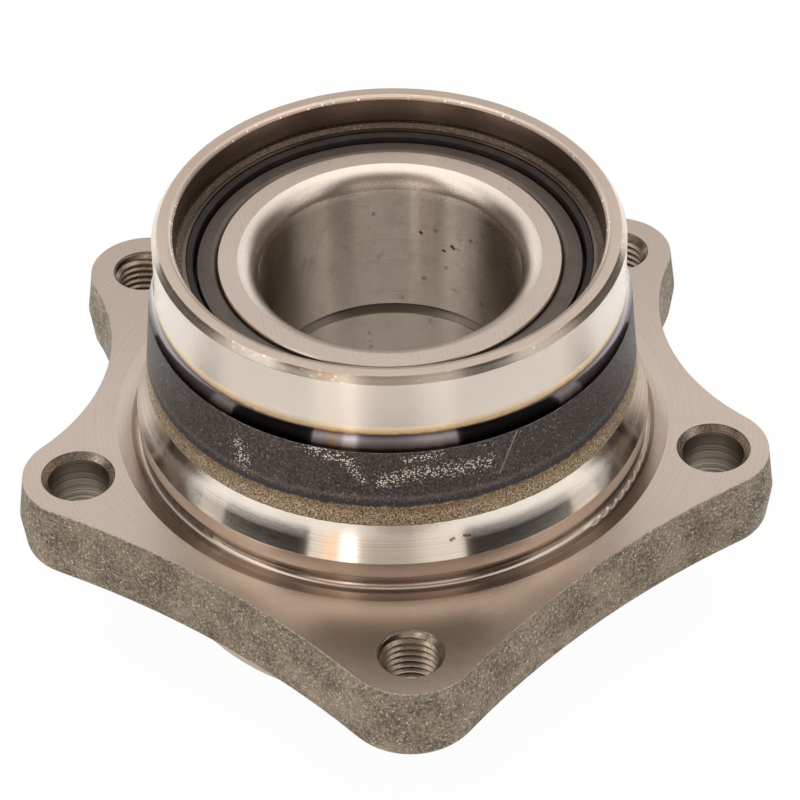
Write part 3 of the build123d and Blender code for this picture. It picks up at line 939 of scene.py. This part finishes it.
@dataclass
class ScrewThread:
    """The thread inside one tapped hole, a closed tube that lines the hole."""

    name: str
    centre: Tuple[float, float]
    outside: float = 5.992
    root: float = 5.93
    crest: float = 5.19
    pitch: float = 1.5
    mouth: float = -0.42
    first_turn: float = -1.25
    foot: float = -16.35
    steps: int = 72
    tooth: Tuple[float, float, float] = (0.14, 0.50, 0.62)
    merge: float = 1e-4

    def build(self) -> bpy.types.Object:
        """Spins one row of teeth up a helix, trims it, and closes it with an outer wall.

        Returns:
            The thread's object.
        """
        mesh = bmesh.new()
        crest_end, root_start, root_end = self.tooth
        tooth = ((self.crest, 0.0), (self.crest, crest_end), (self.root, root_start), (self.root, root_end))
        height = self.foot - 2 * self.pitch
        row = []
        while height < self.first_turn + self.pitch:
            for radius, share in tooth:
                row.append(mesh.verts.new((radius, 0.0, height + share * self.pitch)))
            height += self.pitch
        edges = [mesh.edges.new(pair) for pair in zip(row, row[1:])]
        bmesh.ops.spin(
            mesh,
            geom=row + edges,
            cent=(0, 0, 0),
            axis=(0, 0, 1),
            dvec=(0, 0, self.pitch / self.steps),
            angle=2 * math.pi,
            steps=self.steps,
            use_merge=False,
            use_duplicate=False,
        )
        bmesh.ops.remove_doubles(mesh, verts=mesh.verts, dist=self.merge)
        self._trim(mesh, self.first_turn, 1.0)
        self._trim(mesh, self.foot, -1.0)
        ends = [edge for edge in mesh.edges if edge.is_boundary]
        middle = (self.mouth + self.foot) / 2
        upper = [edge for edge in ends if edge.verts[0].co.z > middle]
        lower = [edge for edge in ends if edge.verts[0].co.z < middle]
        rims = [self._widen(mesh, upper, self.mouth), self._widen(mesh, lower, self.foot)]
        bmesh.ops.bridge_loops(mesh, edges=rims[0] + rims[1])
        bmesh.ops.recalc_face_normals(mesh, faces=mesh.faces)
        shift = Matrix.Translation(Vector((*self.centre, 0.0)) * MM) @ Matrix.Scale(MM, 4)
        bmesh.ops.transform(mesh, matrix=shift, verts=mesh.verts)
        data = bpy.data.meshes.new(self.name)
        mesh.to_mesh(data)
        mesh.free()
        made = bpy.data.objects.new(self.name, data)
        bpy.context.scene.collection.objects.link(made)
        log.info("built %s with %d faces", self.name, len(data.polygons))
        return made

    def _trim(self, mesh: bmesh.types.BMesh, height: float, way: float) -> None:
        """Cuts away what lies beyond a height.

        Args:
            mesh: the thread.
            height: where it is cut.
            way: 1 to cut away what is above, -1 what is below.
        """
        bmesh.ops.bisect_plane(
            mesh,
            geom=mesh.verts[:] + mesh.edges[:] + mesh.faces[:],
            dist=self.merge,
            plane_co=(0, 0, height),
            plane_no=(0, 0, way),
            clear_outer=True,
        )

    def _widen(self, mesh: bmesh.types.BMesh, loop: Sequence[bmesh.types.BMEdge], height: float) -> list:
        """Draws an open end out to the tube's outside.

        Args:
            mesh: the thread.
            loop: the edges round the open end.
            height: where the outer rim lies.

        Returns:
            The edges of the outer rim.
        """
        grown = bmesh.ops.extrude_edge_only(mesh, edges=list(loop))["geom"]
        for vert in (g for g in grown if isinstance(g, bmesh.types.BMVert)):
            flat = Vector((vert.co.x, vert.co.y)).normalized() * self.outside
            vert.co = (flat.x, flat.y, height)
        return [g for g in grown if isinstance(g, bmesh.types.BMEdge) and g.is_boundary]


@dataclass
class OuterRing:
    """The flanged outer ring with its five bolt holes."""

    tapped_radius: float = 68.1
    tapped_angles: Tuple[Tuple[str, float], ...] = (
        ("front", -90.0),
        ("rear_right", 44.1),
        ("rear_left", 135.9),
    )
    plain_radius: float = 63.5
    plain_angles: Tuple[float, ...] = (-13.9, 193.9)

    def hole(self, radius: float, angle: float) -> Tuple[float, float]:
        """The centre of a hole, from its radius and its angle from +X."""
        turn = math.radians(angle)
        return radius * math.cos(turn), radius * math.sin(turn)

    def build(self, nodes: Mapping[str, bpy.types.Object]) -> None:
        """Dresses the ring and cuts its threads.

        Args:
            nodes: the carried-over solids by name.
        """
        tapped = [self.hole(self.tapped_radius, angle) for _, angle in self.tapped_angles]
        plain = [self.hole(self.plain_radius, angle) for angle in self.plain_angles]
        dress(nodes["outer_ring"], RingForging(holes=tuple(tapped + plain)).material())
        cut = TurnedSteel(
            "tapped_steel",
            colour=(0.46, 0.38, 0.31),
            shade=(0.26, 0.20, 0.155),
            roughness=0.27,
            spread=0.10,
            pitch=0.5,
            stain=0.4,
        ).material()
        for (label, _), centre in zip(self.tapped_angles, tapped):
            thread = ScrewThread(f"thread_{label}", centre).build()
            thread.data.materials.append(cut)
            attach(thread, "outer")


@dataclass
class InnerRings:
    """The two halves of the split inner ring."""

    names: Tuple[str, ...] = ("inner_ring_inboard", "inner_ring_outboard")

    def build(self, nodes: Mapping[str, bpy.types.Object]) -> None:
        """Dresses both halves.

        Args:
            nodes: the carried-over solids by name.
        """
        made = BearingSteel().material()
        for name in self.names:
            dress(nodes[name], made)


@dataclass
class RollingSet:
    """The balls of both rows and the cages that space them."""

    balls_per_row: int = 15

    def build(self, nodes: Mapping[str, bpy.types.Object]) -> None:
        """Dresses the balls and cages.

        Args:
            nodes: the carried-over solids by name.
        """
        ball = PolishedBall().material()
        cage = MouldedPolymer(
            "cage_polymer",
            colour=(0.030, 0.027, 0.022),
            pale=(0.075, 0.062, 0.045),
            roughness=0.42,
            grain_size=0.35,
            depth=0.01,
        ).material()
        for side in Side:
            for number in range(1, self.balls_per_row + 1):
                dress(nodes[f"ball_{side.value}_{number:02d}"], ball)
            dress(nodes[f"cage_{side.value}"], cage)


@dataclass
class Seals:
    """The seal at each end: pressed case, rubber lips and slinger."""

    def build(self, nodes: Mapping[str, bpy.types.Object]) -> None:
        """Dresses the seals.

        Args:
            nodes: the carried-over solids by name.
        """
        case = TurnedSteel(
            "seal_case_steel",
            colour=(0.24, 0.20, 0.17),
            shade=(0.12, 0.095, 0.08),
            roughness=0.32,
            spread=0.2,
            pitch=0.3,
            stain=0.6,
        ).material()
        slinger = TurnedSteel(
            "slinger_steel",
            colour=(0.115, 0.092, 0.082),
            shade=(0.035, 0.027, 0.024),
            roughness=0.42,
            spread=0.2,
            pitch=0.28,
            stain=0.8,
            metallic=0.5,
        ).material()
        lip = MouldedPolymer(
            "seal_rubber_black",
            colour=(0.012, 0.008, 0.007),
            pale=(0.030, 0.022, 0.020),
            roughness=0.6,
            grain_size=0.25,
            depth=0.008,
        ).material()
        for side in Side:
            dress(nodes[f"seal_case_{side.value}"], case)
            dress(nodes[f"slinger_{side.value}"], slinger)
            dress(nodes[f"seal_lip_{side.value}"], lip)


@dataclass
class Studio:
    """A pale floor, two soft lamps and the room that the steel reflects.

    A lamp has its name, its power in watts, the side of its square in metres and its place in metres. A card
    has its name, its two ends in degrees to the right of the front, its foot and head in millimetres and its
    level.
    """

    floor_height: float = -35.25
    floor_reach: float = 6000.0
    floor_matt: Colour = (0.86, 0.85, 0.84)
    floor_mirrored: Colour = (1.22, 1.20, 1.18)
    white: Colour = (1.0, 1.0, 1.0)
    lamps: Tuple[Tuple[str, float, float, Point], ...] = (
        ("softbox", 3.0, 0.75, (0.0, 0.12, 1.0)),
        ("front_fill", 9.0, 0.60, (-0.15, -1.0, 0.40)),
    )
    card_distance: float = 200.0
    card_steps: int = 24
    card_turn: float = 0.4
    card_share: float = 0.77
    cards: Tuple[Tuple[str, Tuple[float, float], Tuple[float, float], float], ...] = (
        ("card_right_low", (22.5, 65.5), (-35.0, 62.0), 0.025),
        ("card_right_high", (30.0, 50.0), (62.0, 190.0), 0.08),
        ("card_right_side", (78.0, 118.0), (-35.0, 62.0), 0.18),
        ("card_right_pale", (65.5, 78.0), (-35.0, 62.0), 0.70),
        ("card_left_low", (-67.0, -33.0), (-35.0, 62.0), 0.025),
        ("card_left_high", (-50.0, -42.0), (62.0, 190.0), 0.08),
        ("card_left_side", (-120.0, -78.0), (-35.0, 62.0), 0.20),
        ("card_left_pale", (-78.0, -67.0), (-35.0, 62.0), 0.60),
        ("card_front", (-33.0, 22.5), (-35.0, 62.0), 0.0),
    )
    sides: Colour = (0.13, 0.11, 0.093)
    back: Colour = (1.18, 1.14, 1.10)
    back_foot: Colour = (0.22, 0.19, 0.17)
    back_ceiling: Colour = (0.86, 0.82, 0.78)
    left_box: Colour = (1.75, 1.68, 1.58)
    right_box: Colour = (1.30, 1.24, 1.17)
    front: Colour = (1.05, 0.98, 0.90)
    front_middle: Colour = (0.60, 0.53, 0.47)
    warm_gap: Colour = (1.40, 1.00, 0.70)
    bright_gap: Colour = (2.60, 2.48, 2.30)
    front_head: Colour = (0.28, 0.23, 0.19)
    front_ceiling: Colour = (0.17, 0.145, 0.125)
    overhead: Colour = (1.45, 1.38, 1.29)
    overhead_way: Point = (0.0, 0.19, 0.982)

    def build(self) -> None:
        """Builds the floor, the lamps, the cards and the world."""
        self._floor()
        for lamp in self.lamps:
            self._lamp(*lamp)
        for card in self.cards:
            self._card(*card)
        self._room()

    def _floor(self) -> None:
        """A plain pale floor, white to the eye but for the part's shadow."""
        mesh = bmesh.new()
        bmesh.ops.create_grid(mesh, x_segments=1, y_segments=1, size=self.floor_reach * MM)
        bmesh.ops.translate(mesh, verts=mesh.verts, vec=(0, 0, self.floor_height * MM))
        data = bpy.data.meshes.new("floor")
        mesh.to_mesh(data)
        mesh.free()
        floor = bpy.data.objects.new("floor", data)
        bpy.context.scene.collection.objects.link(floor)
        material, graph = finish_material("pale_floor")
        path = graph.node("ShaderNodeLightPath", None, None, "Is Camera Ray")
        mirrored = path.part("Is Glossy Ray") + path.part("Is Transmission Ray")
        radius = RoundSurface(graph).radius
        # In the steel the floor shows white beyond the part, and a painted glow under it where the part
        # shades it.
        white_beyond_and_glow_under_part = radius.rise(76.0, 92.0) + radius.rise(66.0, 56.0) * 0.36
        seen = (path + mirrored * white_beyond_and_glow_under_part).least(1.0)
        matt = graph.node("ShaderNodeBsdfDiffuse", None, {"Color": self.floor_matt})
        pale = graph.mix(path, self.floor_mirrored, self.white)
        white = graph.node("ShaderNodeEmission", None, {"Color": pale, "Strength": 1.0})
        lit = graph.node("ShaderNodeMixShader", None, {0: seen * 0.95, 1: matt, 2: white})
        clear = graph.node("ShaderNodeBsdfTransparent")
        behind = graph.node("ShaderNodeNewGeometry", None, None, "Backfacing")
        both = graph.node("ShaderNodeMixShader", None, {0: behind, 1: lit, 2: clear})
        graph.node("ShaderNodeOutputMaterial", None, {"Surface": both})
        data.materials.append(material)
        log.info("built floor")

    def _lamp(self, name: str, power: float, size: float, place: Point) -> None:
        """One large soft lamp that faces the part and doesn't show in the steel.

        Args:
            name: the lamp's name.
            power: its power, in watts.
            size: the side of its square, in metres.
            place: where it hangs, in metres.
        """
        light = bpy.data.lights.new(name, "AREA")
        light.shape = "SQUARE"
        light.size = size
        light.energy = power
        lamp = bpy.data.objects.new(name, light)
        lamp.location = place
        lamp.rotation_mode = "QUATERNION"
        lamp.rotation_quaternion = Vector(place).to_track_quat("Z", "Y")
        lamp.visible_camera = lamp.visible_glossy = False
        bpy.context.scene.collection.objects.link(lamp)
        log.info("built %s", name)

    def _card(
        self, name: str, bearings: Tuple[float, float], heights: Tuple[float, float], level: float
    ) -> None:
        """A card standing round the part, which only shows in the steel.

        Args:
            name: the card's name.
            bearings: its two ends, in degrees to the right of the front.
            heights: its foot and head, in millimetres above the mounting face.
            level: how bright it looks, or 0 for a card that shows the front of the room.
        """
        mesh = bmesh.new()
        start = Vector((0.0, -self.card_distance, 0.0))
        ends = [mesh.verts.new(start + Vector((0.0, 0.0, height))) for height in heights]
        edge = mesh.edges.new(ends)
        bmesh.ops.rotate(mesh, verts=ends, matrix=Matrix.Rotation(math.radians(bearings[0]), 3, "Z"))
        width = math.radians(bearings[1] - bearings[0])
        bmesh.ops.spin(
            mesh, geom=ends + [edge], axis=(0, 0, 1), angle=width, steps=self.card_steps, use_merge=False
        )
        bmesh.ops.scale(mesh, verts=mesh.verts, vec=(MM, MM, MM))
        data = bpy.data.meshes.new(name)
        mesh.to_mesh(data)
        mesh.free()
        card = bpy.data.objects.new(name, data)
        bpy.context.scene.collection.objects.link(card)
        card.visible_camera = card.visible_diffuse = card.visible_shadow = False
        material, graph = finish_material(name)
        colour = (level, level * 0.9, level * 0.82)
        if not level:
            on = RoundSurface(graph)
            # The card stands near, so it shows the front of the room turned and narrowed a little.
            bearing = (self._bearing(graph, on.x, on.y) + self.card_turn) / self.card_share
            colour = self._front(graph, bearing)
        shine = graph.node("ShaderNodeEmission", None, {"Color": colour, "Strength": 1.0})
        graph.node("ShaderNodeOutputMaterial", None, {"Surface": shine})
        data.materials.append(material)
        log.info("built %s", name)

    @staticmethod
    def _bearing(graph: Graph, east: Field, north: Field) -> Field:
        """The angle of a place, in degrees to the right of the front."""
        return graph.node("ShaderNodeMath", {"operation": "ARCTAN2"}, {0: east, 1: -north}) * DEGREES

    def _front(self, graph: Graph, bearing: Field) -> Field:
        """What stands in front of the part.

        Args:
            graph: the graph that it is drawn in.
            bearing: the direction, in degrees to the right of the front.

        Returns:
            The light that comes from there.
        """
        front = graph.mix((bearing + 5.0).within(-14.0, 14.0, 9.0), self.front, self.front_middle)
        front = graph.mix(bearing.within(-35.0, -29.0, 1.5), front, self.warm_gap)
        return graph.mix(bearing.within(-27.0, -20.0, 2.0), front, self.bright_gap)

    def _room(self) -> None:
        """The world: white behind and above the part, with cards and gaps between them in front of it."""
        world = bpy.data.worlds.new("studio_room")
        bpy.context.scene.world = world
        world.use_nodes = True
        graph = Graph(world.node_tree)
        way = graph.node("ShaderNodeTexCoord", None, None, "Generated")
        parts = graph.node("ShaderNodeSeparateXYZ", None, {0: way})
        height = graph.node("ShaderNodeMath", {"operation": "ARCSINE"}, {0: parts.part("Z")}) * DEGREES
        bearing = self._bearing(graph, parts, parts.part("Y"))
        aside = abs(bearing)
        light = graph.mix(aside.rise(124.0, 142.0), self.sides, self.back)
        back_foot = aside.rise(158.0, 170.0) * height.rise(39.5, 34.0) * height.rise(4.0, 12.0)
        light = graph.mix(back_foot * 0.8, light, self.back_foot)
        light = graph.mix(aside.rise(80.0, 92.0) * height.rise(33.0, 48.0), light, self.back_ceiling)
        boxes = aside.rise(49.0, 55.0) * aside.rise(94.0, 76.0) * height.rise(16.0, 20.0)
        light = graph.mix(boxes, light, graph.mix(bearing.rise(-1.0, 1.0), self.left_box, self.right_box))
        front = graph.mix(height.rise(20.0, 34.0) * 0.6, self._front(graph, bearing), self.front_head)
        light = graph.mix((bearing + 6.0).within(-36.0, 36.0, 1.0), light, front)
        light = graph.mix(height.rise(38.0, 50.0) * aside.rise(56.0, 44.0), light, self.front_ceiling)
        overhead = graph.vector("DOT_PRODUCT", way, self.overhead_way, output="Value").rise(0.85, 0.90)
        light = graph.mix(overhead, light, self.overhead)
        path = graph.node("ShaderNodeLightPath", None, None, "Is Camera Ray")
        mirrored = path.part("Is Glossy Ray") + path.part("Is Transmission Ray")
        seen = (path + mirrored * aside.rise(136.0, 146.0) * 0.1).least(1.0)
        light = graph.mix(seen, light, self.white)
        shine = graph.node("ShaderNodeBackground", None, {"Color": light, "Strength": 1.0})
        graph.node("ShaderNodeOutputWorld", None, {"Surface": shine})
        log.info("built studio room")


@dataclass(frozen=True)
class Viewpoint:
    """The camera, from how it stands round the point where the axis meets the mounting face."""

    focal_pixels: float = 3720.9
    picture: int = 800
    sensor: float = 36.0
    elevation: float = 40.88
    turn: float = -2.1
    roll: float = -1.136
    distance: float = 732.45
    centre_at: Tuple[float, float] = (392.76, 410.35)

    def build(self) -> bpy.types.Object:
        """Places the camera.

        Returns:
            The camera's object.
        """
        data = bpy.data.cameras.new("camera")
        data.sensor_width = self.sensor
        data.lens = self.focal_pixels * self.sensor / self.picture
        data.clip_start, data.clip_end = 0.05, 50.0
        camera = bpy.data.objects.new("camera", data)
        bpy.context.scene.collection.objects.link(camera)
        middle = self.picture / 2
        aside = math.atan((self.centre_at[0] - middle) / self.focal_pixels)
        down = math.atan((self.centre_at[1] - middle) / self.focal_pixels)
        rise, roll = math.radians(self.elevation), math.radians(self.roll)
        back = Vector((0.0, -math.cos(rise), math.sin(rise)))
        upright = Vector((0.0, math.sin(rise), math.cos(rise)))
        level = Matrix(((1.0, 0.0, 0.0), -upright, -back))
        swing = Matrix(
            ((math.cos(aside), 0, math.sin(aside)), (0, 1, 0), (-math.sin(aside), 0, math.cos(aside)))
        )
        nod = Matrix(((1, 0, 0), (0, math.cos(down), math.sin(down)), (0, -math.sin(down), math.cos(down))))
        lean = Matrix(((math.cos(roll), -math.sin(roll), 0), (math.sin(roll), math.cos(roll), 0), (0, 0, 1)))
        seen = swing @ nod @ lean @ level
        axes = Matrix((seen[0], -seen[1], -seen[2])).transposed()
        turn = Matrix.Rotation(math.radians(self.turn), 4, "Z")
        camera.matrix_world = turn @ Matrix.Translation(back * self.distance * MM) @ axes.to_4x4()
        bpy.context.scene.camera = camera
        log.info("built camera")
        return camera


def main() -> None:
    """Loads the frame, dresses and completes the bearing, and sets it in the studio."""
    logging.basicConfig(level=logging.INFO, format="%(name)s: %(message)s")
    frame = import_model()
    nodes = frame["nodes"]
    for assembly in (OuterRing(), InnerRings(), RollingSet(), Seals()):
        assembly.build(nodes)
        log.info("finished %s", type(assembly).__name__)
    Studio().build()
    Viewpoint().build()
    bpy.context.scene.view_settings.view_transform = "Standard"
    bpy.context.view_layer.update()


if __name__ == "__main__":
    main()
